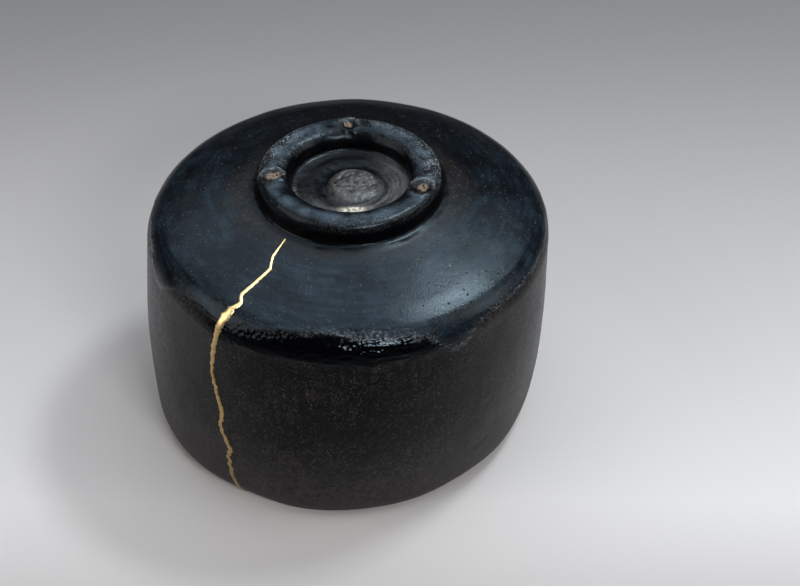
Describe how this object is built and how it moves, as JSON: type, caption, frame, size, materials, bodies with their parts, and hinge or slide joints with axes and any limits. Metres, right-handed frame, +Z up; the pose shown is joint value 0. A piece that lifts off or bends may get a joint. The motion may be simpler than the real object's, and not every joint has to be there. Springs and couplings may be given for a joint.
{
  "type": "kintsugi tea bowl",
  "caption": "Hand-built black tea bowl mended along a crack with gold lacquer, standing mouth down on its rim with the foot ring and its knob on top.",
  "frame": {"origin": "On the surface that the bowl's rim stands on, below the middle of its box.", "axes": "+Z up, from the mouth to the foot ring, because the bowl stands mouth down. +X to the right and -Y to the front, with the gold seam at the front left."},
  "size_m": [0.1172, 0.1182, 0.0866],
  "materials": {
    "black_glaze": "satin",
    "gold_lacquer": "satin"
  },
  "bodies": {
    "root": {"bowl": "black_glaze", "gold_seam": "gold_lacquer"}
  },
  "joints": []
}
